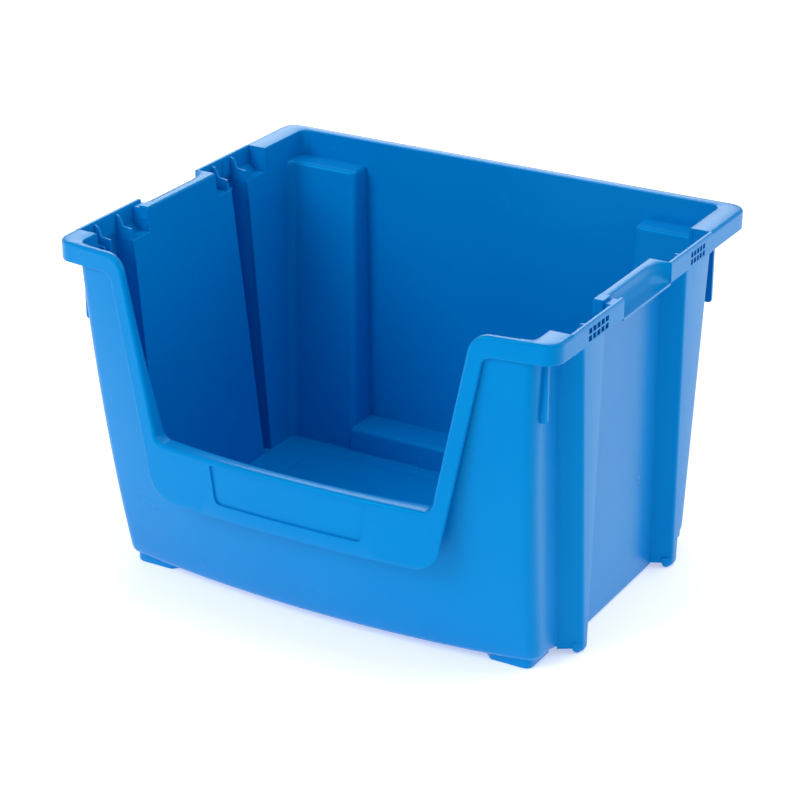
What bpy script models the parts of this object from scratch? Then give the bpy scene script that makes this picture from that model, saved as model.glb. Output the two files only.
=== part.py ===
"""Stackable open-front storage bin, moulded in one piece and divided here into its moulded regions.

Frame: +X to the bin's right, -Y is the open front, +Z up, origin under the middle of the footprint.
Dimensions are millimetres; make_body turns them into the metres that Blender works in.
"""

import math

import bmesh
import bpy

MM = 0.001
WIDTH = 400.0
DEPTH = 327.0
HEIGHT = 265.0
WALL = 2.5
PILASTER_WALL = 2.0
GAP = 0.3

REAR_Y = 163.5
SKIRT_X = WIDTH / 2
SKIRT_DEPTH = 15.0
SKIRT_LOW = HEIGHT - SKIRT_DEPTH
PLATE_LOW = HEIGHT - WALL

# Straight tapers are (value at the foot, value at the rim).
SIDE_WALL_X = (173.5, 184.5)
PILASTER_X = (189.0, 200.6)
FRONT_FLANK_FOOT = (-80.5, -115.5)
FRONT_FLANK_EDGE = (-71.2, -110.8)
FRONT_MOUTH_END = (-68.0, -81.0)
FRONT_PILASTER_END = (-65.4, -77.8)
REAR_FLANK_FOOT = (72.0, 45.9)
REAR_FLANK_EDGE = (79.3, 53.0)
REAR_MOUTH_END = (84.0, 71.5)
REAR_PILASTER_END = (91.5, 95.5)
REAR_FIN_LOW = 28.0
SIDE_WALL_END = (127.0, 134.0)
COLUMN_FRONT_Y = (115.0, 136.0)
COLUMN_INNER_X = (112.0, 122.0)
REAR_WALL_Y = (143.0, 154.0)

FLOOR_LOW = 10.0
FLOOR_TOP = 13.0
FOOT_TOP = 8.7
POCKET_TOP = 249.0
HOLE_DEPTH = 1.8
POCKET_LOW = POCKET_TOP - 2.0
LEDGE_TOP = 245.0

FRONT_POCKETS = (-124.0, -59.0)
REAR_POCKETS = (28.5, 99.0)
FRONT_CHANNEL = (-105.0, -80.5)
REAR_CHANNEL = (47.5, 71.5)
CORNER_X = 184.0
GRIP_BLOCK = (-59.0, 28.5)
GRIP_OPEN = (-48.0, 6.5)
FRONT_HOLES = (-102.1, -71.0)
REAR_HOLES = (61.1, 86.5)

SILL_Z = 128.5
APRON_LOW = 83.6
OPENING_TOP_R = 15.0
OPENING_LOW_R = 8.0
BAND = 12.2
EDGE_SLOPE = 0.205
OPENING_HALF = 140.3
LABEL_HALF = 62.0
LABEL_Z = (94.5, 123.0)
LABEL_DEPTH = 1.6
STEP_TOP = 33.0
STEP_Y = 114.5

COLOUR = (0.0, 0.27, 0.76, 1.0)
ROUGHNESS = 0.36


def taper(ends, z):
    """A straight taper's value at height z."""
    return ends[0] + (ends[1] - ends[0]) * z / HEIGHT


def through(z, stations):
    """The parabola through three (height, value) stations."""
    total = 0.0
    for i, (height, value) in enumerate(stations):
        for j, (other, _) in enumerate(stations):
            if i != j:
                value *= (z - other) / (height - other)
        total += value
    return total


def front_wall_y(x, z):
    """The inner face of the bowed front wall."""
    middle = through(z, ((265.0, -158.4), (128.0, -154.0), (15.0, -129.0)))
    bow = through(z, ((265.0, 0.00042), (128.0, 0.0007), (15.0, 0.00055)))
    return middle + bow * x * x


def front_face_y(x):
    """The upright outer face of the front skirt, the bands and the apron."""
    return -DEPTH / 2 + 0.0004 * x * x


def opening_x(z):
    """Half the opening's width at height z, along its straight side."""
    return OPENING_HALF - EDGE_SLOPE * (HEIGHT - z)


def spread(start, end, count):
    return [start + (end - start) * i / count for i in range(count + 1)]


def plastic(name):
    """The material of one node."""
    material = bpy.data.materials.new(name)
    material.use_nodes = True
    shader = material.node_tree.nodes["Principled BSDF"]
    shader.inputs["Base Color"].default_value = COLOUR
    shader.inputs["Roughness"].default_value = ROUGHNESS
    shader.inputs["Metallic"].default_value = 0.0
    return material


def make_body(name, points, faces, side=1):
    """One closed body from points in millimetres, mirrored in X when side is -1."""
    mesh = bpy.data.meshes.new(name)
    body = bmesh.new()
    corners = [body.verts.new((side * x * MM, y * MM, z * MM)) for x, y, z in points]
    for face in faces:
        body.faces.new([corners[i] for i in face])
    bmesh.ops.recalc_face_normals(body, faces=body.faces)
    bmesh.ops.triangulate(body, faces=body.faces)
    body.to_mesh(mesh)
    body.free()
    mesh.materials.append(plastic(name))
    node = bpy.data.objects.new(name, mesh)
    bpy.context.scene.collection.objects.link(node)
    return node


def loft(name, loops, side=1):
    """A body through matching closed loops, with an end face on the first and the last."""
    count = len(loops[0])
    points = [point for loop in loops for point in loop]
    faces = [list(range(count)), list(range(len(points) - count, len(points)))]
    for row in range(len(loops) - 1):
        for i in range(count):
            j = (i + 1) % count
            low = row * count
            faces.append((low + i, low + j, low + count + j, low + count + i))
    return make_body(name, points, faces, side)


def cells(name, us, vs, front, back, side=1, holes=()):
    """A body of grid cells between a front and a back surface, with some cells left out."""
    index = {}
    points = []
    faces = []

    def corner(layer, i, j):
        if (layer, i, j) not in index:
            index[layer, i, j] = len(points)
            points.append((front, back)[layer](us[i], vs[j]))
        return index[layer, i, j]

    def is_solid(i, j):
        return 0 <= i < len(us) - 1 and 0 <= j < len(vs) - 1 and (i, j) not in holes

    def add_cell(i, j):
        ring = ((i, j), (i + 1, j), (i + 1, j + 1), (i, j + 1))
        beside = ((i, j - 1), (i + 1, j), (i, j + 1), (i - 1, j))
        faces.append([corner(0, *at) for at in ring])
        faces.append([corner(1, *at) for at in reversed(ring)])
        for k, other in enumerate(beside):
            a, b = ring[k], ring[(k + 1) % 4]
            if not is_solid(*other):
                faces.append([corner(0, *b), corner(0, *a), corner(1, *a), corner(1, *b)])

    for i in range(len(us) - 1):
        for j in range(len(vs) - 1):
            if is_solid(i, j):
                add_cell(i, j)
    return make_body(name, points, faces, side)


def prism(name, outline, low, high, side=1):
    """A flat plate or block: a plan outline between two heights."""
    return loft(name, [[(x, y, z) for x, y in outline] for z in (low, high)], side)


def upright(name, outline, low, high, side=1):
    """A plan outline that depends on height, between two heights."""
    return loft(name, [[(x, y, z) for x, y in outline(z)] for z in (low, high)], side)


def floor_panel():
    """The floor, inside the feet of all the walls."""
    half = taper(SIDE_WALL_X, FLOOR_LOW) - WALL - GAP
    column_x = taper(COLUMN_INNER_X, FLOOR_LOW) - GAP
    column_y = taper(COLUMN_FRONT_Y, FLOOR_LOW) - GAP
    front = [(x, front_wall_y(x, FLOOR_LOW) + 0.8) for x in spread(-half + 9.0, half - 9.0, 12)]
    bend = [(half - 3.0, front_wall_y(half - 3.0, FLOOR_LOW) + 3.0)]
    bend.append((half, front_wall_y(half, FLOOR_LOW) + 10.0))
    rear = [(half, column_y - 6.3), (half - 6.3, column_y), (column_x, column_y), (column_x, STEP_Y - GAP)]
    right = bend + rear
    left = [(-x, y) for x, y in reversed(right)]
    prism("floor_panel", front + right + left, FLOOR_LOW, FLOOR_TOP)


def corner_start(z):
    return taper(SIDE_WALL_X, z) - 9.0


def front_lower_wall():
    """The bowed wall under the opening, between the corner posts."""

    def at(u, z, offset):
        x = u * (corner_start(z) - GAP)
        return (x, front_wall_y(x, z) - offset, z)

    cells(
        "front_lower_wall",
        spread(-1.0, 1.0, 20),
        spread(9.0, SILL_Z - WALL - GAP, 8),
        lambda u, z: at(u, z, WALL),
        lambda u, z: at(u, z, 0.0),
    )


def cheek_start(z):
    """The edge of a cheek beside the opening's edge strip."""
    if z < SILL_Z + OPENING_LOW_R:
        drop = SILL_Z + OPENING_LOW_R - z
        reach = OPENING_LOW_R + WALL + GAP
        centre_x = opening_x(SILL_Z + OPENING_LOW_R) - OPENING_LOW_R
        return centre_x + math.sqrt(max(reach * reach - drop * drop, 0.0)) + 0.4
    if z > SKIRT_LOW:
        rise = min(z - SKIRT_LOW, 12.19)
        reach = OPENING_TOP_R - WALL - GAP
        return opening_centre_x() - math.sqrt(reach * reach - rise * rise) + 0.05
    return opening_x(z) + WALL + GAP + 0.2


def opening_centre_x():
    return opening_x(SKIRT_LOW) + 15.3


def cheek_heights():
    low = spread(SILL_Z - WALL, SILL_Z + OPENING_LOW_R, 4)[:-1]
    middle = spread(SILL_Z + OPENING_LOW_R, SKIRT_LOW, 8)
    return low + middle + spread(SKIRT_LOW, PLATE_LOW - GAP, 5)[1:]


def front_cheek(tag, side):
    """The front wall between the opening and the corner post."""

    def at(u, z, offset):
        x = cheek_start(z) * (1 - u) + (corner_start(z) - GAP) * u
        return (x, front_wall_y(x, z) - offset, z)

    cells(
        "front_cheek_" + tag,
        spread(0.0, 1.0, 4),
        cheek_heights(),
        lambda u, z: at(u, z, WALL),
        lambda u, z: at(u, z, 0.0),
        side,
    )


def bend_points(z, offset):
    """The rounded plan corner between the front wall and the side wall."""
    start_x = corner_start(z)
    side_x = taper(SIDE_WALL_X, z) - WALL + offset
    start = (start_x, front_wall_y(start_x, z) - offset)
    middle = (side_x, front_wall_y(side_x, z) - offset)
    end = (side_x, front_wall_y(side_x, z) + 9.0)
    points = []
    for t in spread(0.0, 1.0, 6):
        weights = ((1 - t) * (1 - t), 2 * t * (1 - t), t * t)
        points.append(tuple(sum(w * p[k] for w, p in zip(weights, (start, middle, end))) for k in (0, 1)))
    return points


def corner_post(tag, side):
    loops = []
    for z in spread(9.0, POCKET_TOP, 12) + [PLATE_LOW - GAP]:
        outline = bend_points(z, WALL) + bend_points(z, 0.0)[::-1]
        loops.append([(x, y, z) for x, y in outline])
    loft("front_corner_post_" + tag, loops, side)


def opening_path():
    """Stations (x, z, normal x, normal z) round the opening from its top corner to the sill's middle."""
    lean = math.atan(EDGE_SLOPE)
    centre_x = opening_centre_x()
    path = [(x, HEIGHT, 0.0, -1.0) for x in (CORNER_X - GAP, 178.0, 171.0, 163.0)]
    for angle in spread(math.pi / 2, math.pi - lean, 8):
        c, s = math.cos(angle), math.sin(angle)
        path.append((centre_x + OPENING_TOP_R * c, SKIRT_LOW + OPENING_TOP_R * s, -c, -s))
    for z in spread(235.0, 145.0, 5):
        path.append((opening_x(z), z, math.cos(lean), -math.sin(lean)))
    low_z = SILL_Z + OPENING_LOW_R
    low_x = opening_x(low_z) - OPENING_LOW_R
    for angle in spread(-lean, -math.pi / 2, 6):
        c, s = math.cos(angle), math.sin(angle)
        path.append((low_x + OPENING_LOW_R * c, low_z + OPENING_LOW_R * s, c, s))
    return path, low_x


def strip_loop(x, z, nx, nz):
    """The cross-section of the opening's edge strip at one station."""
    loop = []
    for depth, inside in ((0.0, 0), (WALL, 0), (WALL, 1), (0.0, 1)):
        px, pz = x + nx * depth, z + nz * depth
        loop.append((px, front_wall_y(px, pz) if inside else front_face_y(px), pz))
    return loop


def opening_edge(tag, side):
    """The strip that lines the opening from the rim down to the sill."""
    path, _ = opening_path()
    loft("opening_edge_" + tag, [strip_loop(*station) for station in path], side)


def opening_sill():
    _, low_x = opening_path()
    loops = [strip_loop(x, SILL_Z, 0.0, -1.0) for x in spread(-low_x + GAP, low_x - GAP, 12)]
    loft("opening_sill", loops)


def band_start(z):
    return cheek_start(z) + 0.1


def opening_band(tag, side):
    """The flat raised band beside the opening, and the skirt over it up to the rim."""
    heights = cheek_heights()[1:]

    def at(u, z, offset):
        x = band_start(z) + u * (band_end(z) - band_start(z))
        return (x, front_face_y(x) + offset, z)

    cells(
        "opening_band_" + tag,
        spread(0.0, 1.0, 4),
        [SILL_Z - WALL + GAP] + heights,
        lambda u, z: at(u, z, 0.0),
        lambda u, z: at(u, z, WALL),
        side,
    )


def band_end(z):
    """The band's outer edge, swept out into the skirt's underside at the top."""
    straight = opening_x(z) + BAND
    if z <= SKIRT_LOW - 6.0:
        return straight
    if z >= SKIRT_LOW:
        return CORNER_X - GAP
    rise = (z - SKIRT_LOW + 6.0) / 6.0
    return straight + 6.0 * (1 - math.sqrt(1 - rise * rise))


def apron_edge(z):
    """The apron's half width, with rounded lower corners."""
    edge = opening_x(z) + BAND
    rise = z - APRON_LOW
    radius = 20.0
    if rise >= radius:
        return edge
    return edge - radius + math.sqrt(radius * radius - (radius - rise) * (radius - rise))


def apron_panel():
    """The apron that hangs in front of the lower wall, with the shallow recess for a label."""
    half = LABEL_HALF
    us = [-124.0, -118.0, -110.0, -100.0, -85.0, -half - 0.4, -half, -40.0, -20.0]
    us = us + [0.0] + [-u for u in reversed(us)]
    vs = spread(APRON_LOW, LABEL_Z[0] - 0.4, 4) + [LABEL_Z[0], LABEL_Z[0] + 9.0]
    vs += [LABEL_Z[1] - 9.0, LABEL_Z[1], LABEL_Z[1] + 0.4, SILL_Z - WALL - GAP]

    def at(u, z, offset):
        x = u
        if abs(u) > half + 0.4:
            share = (abs(u) - half - 0.4) / (124.0 - half - 0.4)
            x = math.copysign(half + 0.4 + share * (apron_edge(z) - half - 0.4), u)
        recessed = abs(u) <= half and LABEL_Z[0] <= z <= LABEL_Z[1]
        return (x, front_face_y(x) + (LABEL_DEPTH if recessed else 0.0) + offset, z)

    cells("apron_panel", us, vs, lambda u, z: at(u, z, 0.0), lambda u, z: at(u, z, 2.2))


def rim_loop(outer, inner, inset):
    """An L section: a flat top with a skirt hanging from its outer edge."""
    (ox, oy), (ix, iy), (sx, sy) = outer, inner, inset
    loop = [(ox, oy, HEIGHT), (ix, iy, HEIGHT), (ix, iy, PLATE_LOW), (sx, sy, PLATE_LOW)]
    return loop + [(sx, sy, SKIRT_LOW), (ox, oy, SKIRT_LOW)]


def rim_front_corner(tag, side):
    """The rim round a front corner, from the front skirt to the pockets in the side."""
    radius = 13.0
    face_y = front_face_y(187.0)
    start_y = front_face_y(CORNER_X)
    loops = [rim_loop((CORNER_X, start_y), (CORNER_X, start_y + 5.2), (CORNER_X, start_y + WALL))]
    for angle in spread(-math.pi / 2, 0.0, 6):
        c, s = math.cos(angle), math.sin(angle)
        outer = (SKIRT_X - radius + radius * c, face_y + radius + radius * s)
        inset = (SKIRT_X - radius + (radius - WALL) * c, face_y + radius + (radius - WALL) * s)
        share = (angle + math.pi / 2) / (math.pi / 2)
        inner = (CORNER_X - 2.0 * share * share, start_y + 5.8 + 7.0 * share)
        loops.append(rim_loop(outer, inner, inset))
    end = FRONT_POCKETS[0]
    loops.append(rim_loop((SKIRT_X, end), (182.0, end), (SKIRT_X - WALL, end)))
    loft("rim_front_corner_" + tag, loops, side)


def rim_rear_corner(tag, side):
    """The rim round a rear corner, from the pockets in the side to the rear rim."""
    start = REAR_POCKETS[1]
    loops = [rim_loop((SKIRT_X, start), (182.0, start), (SKIRT_X - WALL, start))]
    radius = 10.0
    for angle in spread(0.0, math.pi / 2, 6):
        c, s = math.cos(angle), math.sin(angle)
        outer = (SKIRT_X - radius + radius * c, REAR_Y - radius + radius * s)
        inset = (SKIRT_X - radius + (radius - WALL) * c, REAR_Y - radius + (radius - WALL) * s)
        inner = (175.0 + 7.0 * c, 147.0 + 7.0 * s)
        loops.append(rim_loop(outer, inner, inset))
    end = 165.0
    loops.append(rim_loop((end, REAR_Y), (end, 154.0), (end, REAR_Y - WALL)))
    loft("rim_rear_corner_" + tag, loops, side)


def rim_rear():
    loops = []
    for x in (165.0 - GAP, 0.0, -165.0 + GAP):
        loops.append(rim_loop((x, REAR_Y), (x, 154.0), (x, REAR_Y - WALL)))
    loft("rim_rear", loops)


def side_wall(name, start, end, low, notches, side):
    """A side wall between two slanting edges, its top cut down where a pocket opens into the bin."""
    us = sorted({0.0, 1.0, *(edge for notch in notches for edge in notch)})
    vs = spread(low, POCKET_TOP, 12) + [PLATE_LOW - GAP]
    holes = [(i, 12) for i, u in enumerate(us[:-1]) if any(a <= u < b for a, b in notches)]

    def at(u, z, offset):
        y = start(z) * (1 - u) + end(z) * u
        return (taper(SIDE_WALL_X, z) - offset, y, z)

    cells(
        name,
        us,
        vs,
        lambda u, z: at(u, z, 0.0),
        lambda u, z: at(u, z, WALL),
        side,
        holes,
    )


def side_walls(tag, side):
    side_wall(
        "side_wall_front_" + tag,
        lambda z: front_wall_y(taper(SIDE_WALL_X, z), z) + 9.0 + GAP,
        lambda z: taper(FRONT_FLANK_FOOT, z) + PILASTER_WALL,
        9.0,
        ((0.52, 1.0),),
        side,
    )
    side_wall(
        "side_wall_middle_" + tag,
        lambda z: taper(FRONT_MOUTH_END, z),
        lambda z: taper(REAR_FLANK_FOOT, z) + PILASTER_WALL,
        2.0,
        ((0.0, 0.16), (0.84, 1.0)),
        side,
    )
    side_wall(
        "side_wall_rear_" + tag,
        lambda z: taper(REAR_MOUTH_END, z),
        lambda z: taper(SIDE_WALL_END, z),
        2.0,
        ((0.0, 0.45),),
        side,
    )


def pilasters(tag, side):
    front = (FRONT_FLANK_FOOT, FRONT_FLANK_EDGE, FRONT_MOUTH_END, FRONT_PILASTER_END)
    rear = (REAR_FLANK_FOOT, REAR_FLANK_EDGE, REAR_MOUTH_END, REAR_PILASTER_END)
    upright("front_pilaster_" + tag, lambda z: hollow_plan(z, *front), 4.3, POCKET_LOW - GAP, side)
    heights = (4.3, REAR_FIN_LOW, REAR_FIN_LOW + 3.0, POCKET_LOW - GAP)
    plans = [(z, hollow_plan(z, *rear, fin_low=REAR_FIN_LOW)) for z in heights]
    loft("rear_pilaster_" + tag, [[(x, y, z) for x, y in plan] for z, plan in plans], side)
    prism("front_pilaster_foot_" + tag, foot_plan(*front[:3]), 0.0, 4.0, side)
    prism("rear_pilaster_foot_" + tag, foot_plan(*rear[:3]), 0.0, 4.0, side)


def hollow_plan(z, foot, edge, mouth_end, end, fin_low=0.0):
    """The plan of a hollow pilaster, its outer face carried on past the rear flank above fin_low."""
    root = taper(SIDE_WALL_X, z) + GAP
    face = taper(PILASTER_X, z)
    foot_y, edge_y, mouth_y, end_y = (taper(ends, z) for ends in (foot, edge, mouth_end, end))
    thin = face - PILASTER_WALL
    if z <= fin_low:
        end_y = mouth_y + PILASTER_WALL + 0.6
    outer = [(root, foot_y), (face, edge_y), (face, end_y), (thin, end_y)]
    outer += [(thin, mouth_y + PILASTER_WALL), (root, mouth_y + PILASTER_WALL)]
    inner = [(root, mouth_y), (thin, mouth_y), (thin, edge_y + PILASTER_WALL)]
    return outer + inner + [(root, foot_y + PILASTER_WALL)]


def foot_plan(foot, edge, mouth_end):
    root = SIDE_WALL_X[0] + GAP + 0.2
    face = PILASTER_X[0]
    end = mouth_end[0] + PILASTER_WALL
    return [(root, foot[0]), (face, edge[0]), (face, end), (root, end)]


def perforated_skirt(name, span, holes_span, side):
    """The thin wall outside a pocket group, with two rows of five square blind holes in its face."""
    pitch = (holes_span[1] - holes_span[0]) / 5
    ys = [span[0] + GAP]
    for i in range(5):
        start = holes_span[0] + i * pitch
        ys += [start + 0.75, start + pitch - 0.75]
    ys.append(span[1])
    zs = [POCKET_LOW, HEIGHT - 13.2, HEIGHT - 9.1, HEIGHT - 7.8, HEIGHT - 3.7, HEIGHT]
    sunk = [(i, j) for i in (1, 3, 5, 7, 9) for j in (1, 3)]
    points = []
    faces = []
    index = {}

    def corner(x, i, j):
        if (x, i, j) not in index:
            index[x, i, j] = len(points)
            points.append((x, ys[i], zs[j]))
        return index[x, i, j]

    def face_x(i, j):
        """Where a cell's face lies, or the back of the wall outside the grid."""
        if not (0 <= i < len(ys) - 1 and 0 <= j < len(zs) - 1):
            return SKIRT_X - WALL
        return SKIRT_X - HOLE_DEPTH if (i, j) in sunk else SKIRT_X

    for i in range(len(ys) - 1):
        for j in range(len(zs) - 1):
            x = face_x(i, j)
            ring = ((i, j), (i + 1, j), (i + 1, j + 1), (i, j + 1))
            faces.append([corner(x, *at) for at in ring])
            faces.append([corner(SKIRT_X - WALL, *at) for at in reversed(ring)])
            for k, other in enumerate(((i, j - 1), (i + 1, j), (i, j + 1), (i - 1, j))):
                beyond = face_x(*other)
                if beyond < x:
                    p, q = ring[k], ring[(k + 1) % 4]
                    faces.append([corner(x, *q), corner(x, *p), corner(beyond, *p), corner(beyond, *q)])
    make_body(name, points, faces, side)


def pocket_floor(name, span, channel, side):
    """The floor shared by a group's two pockets, open where the channel runs down between them."""
    xs = (taper(SIDE_WALL_X, POCKET_TOP) + GAP + 0.1, SKIRT_X - WALL - GAP)
    ys = [span[0] + GAP, channel[0] + WALL, channel[1], span[1] - GAP]
    xs = (xs[0], xs[1] - WALL, xs[1])
    cells(
        name,
        xs,
        ys,
        lambda x, y: (x, y, POCKET_TOP),
        lambda x, y: (x, y, POCKET_LOW),
        side,
        [(0, 1)],
    )


def grip_crest(y):
    """Where the flat crest ends at y: the scoop is closed at the rear by a quarter of an ellipse."""
    share = max(y - GRIP_OPEN[1], 0.0) / (GRIP_BLOCK[1] - GRIP_OPEN[1])
    return min(SKIRT_X - 10.3 * math.sqrt(1 - share * share), SKIRT_X - 1.0)


def grip_section(y):
    """The grip's section: a flat crest, then a hollow sweep down and out to the lower edge."""
    crest_x = grip_crest(y)
    top = []
    under = []
    for angle in spread(0.0, math.pi / 2, 6):
        x = crest_x + (SKIRT_X - crest_x) * (1 - math.cos(angle)) ** 0.8
        z = HEIGHT - SKIRT_DEPTH * math.sin(angle)
        top.append((x, y, z))
        under.append((x - WALL * math.cos(angle), y, z - WALL))
    return [(184.9, y, HEIGHT)] + top + under[::-1] + [(184.9, y, PLATE_LOW)]


def grip(tag, side):
    start, end = GRIP_BLOCK[0] + GAP, GRIP_BLOCK[1] - GAP
    stations = [GRIP_OPEN[0] + GAP, -20.0] + spread(GRIP_OPEN[1], end, 8)
    loft("grip_" + tag, [grip_section(y) for y in stations], side)
    outline = [(184.9, start), (SKIRT_X - WALL - GAP, start)]
    outline += [(SKIRT_X - WALL - GAP, GRIP_OPEN[0]), (184.9, GRIP_OPEN[0])]
    prism("grip_end_" + tag, outline, HEIGHT - 10.0, HEIGHT, side)


def tab(name, y, reach, low, side):
    """A thin upright plate under the rim, its lower outer corner rounded."""
    top = SKIRT_LOW + 10.0
    outline = [(taper(SIDE_WALL_X, top) + GAP, top), (taper(SIDE_WALL_X, low) + GAP, low)]
    outline += [(reach - 3.0, low), (reach - 0.9, low + 0.9), (reach, low + 3.0), (reach, top)]
    loops = [[(x, py, z) for x, z in outline] for py in (y, y + WALL)]
    loft(name, loops, side)


def rear_wall():
    """The rear wall between the columns, down to the step."""

    def at(u, z, offset):
        x = u * (taper(COLUMN_INNER_X, z) - GAP)
        return (x, taper(REAR_WALL_Y, z) + offset, z)

    cells(
        "rear_wall",
        (-1.0, 1.0),
        (STEP_TOP + GAP, LEDGE_TOP, PLATE_LOW - GAP),
        lambda u, z: at(u, z, WALL),
        lambda u, z: at(u, z, 0.0),
    )


def rear_column(tag, side):
    """The two walls of a rear corner column, recessed on the outside."""

    def outline(z):
        x, y = taper(COLUMN_INNER_X, z), taper(COLUMN_FRONT_Y, z)
        rear = taper(REAR_WALL_Y, z) + WALL
        end = taper(SIDE_WALL_X, z) - WALL - GAP
        inner = [(end, y - 6.0), (end - 6.0, y), (x, y), (x, rear)]
        outer = [(x + WALL, rear), (x + WALL, y + WALL), (end - 5.0, y + WALL), (end, y - 2.5)]
        return inner + outer

    upright("rear_column_" + tag, outline, FLOOR_LOW, LEDGE_TOP - WALL - GAP, side)


def rear_ledge(tag, side):
    """The ledge that closes a column at the top."""
    x, y = taper(COLUMN_INNER_X, LEDGE_TOP), taper(COLUMN_FRONT_Y, LEDGE_TOP)
    rear = taper(REAR_WALL_Y, LEDGE_TOP)
    end = taper(SIDE_WALL_X, LEDGE_TOP) - WALL
    outline = [(x, y), (end - GAP, y), (end - GAP, rear - 8.0), (end - 8.0, rear - GAP), (x, rear - GAP)]
    prism("rear_ledge_" + tag, outline, LEDGE_TOP - WALL, LEDGE_TOP, side)


def rear_upper_corner(tag, side):
    """The wall round the bin's rear corner, above the ledge."""

    def outline(z):
        x, rear = taper(SIDE_WALL_X, z), taper(REAR_WALL_Y, z)
        start = taper(SIDE_WALL_END, z) + GAP
        column = taper(COLUMN_INNER_X, z)
        outer, inner = [(x, start)], [(x - WALL, start)]
        for angle in spread(0.0, math.pi / 2, 5):
            c, s = math.cos(angle), math.sin(angle)
            outer.append((x - 9.5 + 9.5 * c, rear + WALL - 9.5 + 9.5 * s))
            inner.append((x - 9.5 + 7.0 * c, rear + WALL - 9.5 + 7.0 * s))
        return outer + [(column, rear + WALL), (column, rear)] + inner[::-1]

    upright("rear_upper_corner_" + tag, outline, LEDGE_TOP + GAP, PLATE_LOW - GAP, side)


def rear_step():
    """The step along the foot of the rear wall, open below as a hold for the fingers."""
    rear = taper(REAR_WALL_Y, STEP_TOP) + WALL
    half = taper(COLUMN_INNER_X, FLOOR_LOW) - GAP - 0.3
    section = [(STEP_Y, FLOOR_LOW), (STEP_Y, STEP_TOP), (rear, STEP_TOP), (rear, STEP_TOP - WALL)]
    section += [(STEP_Y + WALL, STEP_TOP - WALL), (STEP_Y + WALL, FLOOR_LOW)]
    loft("rear_step", [[(x, y, z) for y, z in section] for x in (-half, half)])


def foot(name, start, end, side):
    """A foot pad, its inner end cut off at 45 degrees."""
    outline = [(136.0, start), (168.0, start), (168.0, end), (126.0, end), (126.0, start + 10.0)]
    prism(name, outline, 0.0, FOOT_TOP, side)


def clear_scene():
    for item in list(bpy.data.objects):
        bpy.data.objects.remove(item, do_unlink=True)


def build_side(tag, side):
    front_cheek(tag, side)
    corner_post(tag, side)
    opening_edge(tag, side)
    opening_band(tag, side)
    rim_front_corner(tag, side)
    rim_rear_corner(tag, side)
    side_walls(tag, side)
    pilasters(tag, side)
    front_span = (FRONT_POCKETS[0], GRIP_OPEN[0])
    rear_span = (REAR_POCKETS[0], REAR_POCKETS[1] - GAP)
    perforated_skirt("front_perforated_skirt_" + tag, front_span, FRONT_HOLES, side)
    perforated_skirt("rear_perforated_skirt_" + tag, rear_span, REAR_HOLES, side)
    pocket_floor("front_pocket_floor_" + tag, FRONT_POCKETS, FRONT_CHANNEL, side)
    pocket_floor("rear_pocket_floor_" + tag, REAR_POCKETS, REAR_CHANNEL, side)
    grip(tag, side)
    tab("front_tab_" + tag, -134.0, 187.0, 202.0, side)
    tab("rear_tab_" + tag, 126.0, 190.0, 199.0, side)
    rear_column(tag, side)
    rear_ledge(tag, side)
    rear_upper_corner(tag, side)
    foot("front_foot_" + tag, -112.5, -82.5, side)


def main():
    clear_scene()
    floor_panel()
    front_lower_wall()
    opening_sill()
    apron_panel()
    rim_rear()
    rear_wall()
    rear_step()
    build_side("right", 1)
    build_side("left", -1)


main()
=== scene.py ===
"""The looks of the stackable open-front storage bin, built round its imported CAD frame.

Shapes are worked out in millimetres and turned into metres when a piece is made.
Every visible piece is a closed moulded region in one satin blue polypropylene.
"""

import math

import bmesh
import bpy
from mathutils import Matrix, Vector


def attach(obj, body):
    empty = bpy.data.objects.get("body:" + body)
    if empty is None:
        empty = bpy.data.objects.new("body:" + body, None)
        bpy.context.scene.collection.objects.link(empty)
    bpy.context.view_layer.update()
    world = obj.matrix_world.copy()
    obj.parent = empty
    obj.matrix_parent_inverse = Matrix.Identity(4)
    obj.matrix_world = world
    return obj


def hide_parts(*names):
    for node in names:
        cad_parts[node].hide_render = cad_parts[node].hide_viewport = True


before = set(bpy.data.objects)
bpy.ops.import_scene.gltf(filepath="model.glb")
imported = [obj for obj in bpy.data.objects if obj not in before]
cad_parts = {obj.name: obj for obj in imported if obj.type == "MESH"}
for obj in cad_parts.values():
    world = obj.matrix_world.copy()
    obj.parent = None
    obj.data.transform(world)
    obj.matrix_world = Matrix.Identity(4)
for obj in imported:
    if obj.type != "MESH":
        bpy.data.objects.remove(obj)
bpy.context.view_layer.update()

MM = 0.001
HEIGHT = 265.0
REAR_Y = 163.5
SKIRT_X = 200.0
SKIRT_LOW = 250.0
RIM_INNER_X = 181.9
WALL = 2.5

# Straight tapers are (value at the foot, value at the rim), as in the CAD.
SIDE_WALL_X = (173.5, 184.5)
PILASTER_X = (189.0, 200.6)
PILASTER_WALL = 2.0
FRONT_FLANK_FOOT = (-80.5, -115.5)
FRONT_FLANK_EDGE = (-71.2, -110.8)
FRONT_MOUTH_END = (-68.0, -81.0)
FRONT_PILASTER_END = (-65.4, -77.8)
REAR_FLANK_FOOT = (72.0, 45.9)
REAR_FLANK_EDGE = (79.3, 53.0)
REAR_MOUTH_END = (84.0, 71.5)
REAR_PILASTER_END = (91.5, 95.5)
REAR_FIN_LOW = 28.0
SIDE_WALL_END = (127.0, 134.0)
COLUMN_FRONT_Y = (115.0, 136.0)
COLUMN_INNER_X = (112.0, 122.0)
REAR_WALL_Y = (143.0, 154.0)

FRONT_POCKETS = (-124.0, -59.0)
REAR_POCKETS = (28.5, 99.0)
FRONT_HOLES = (-102.1, -71.0)
REAR_HOLES = (61.1, 86.5)
GRIP_BLOCK = (-59.0, 28.5)
GRIP_OPEN = (-48.0, 6.5)
GRIP_INNER_X = 182.2
SHELF_X = 191.5
SKIRT_BACK_X = 198.0
NOTCH_LOW = 245.4
NOTCH_HIGH = 254.0

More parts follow.
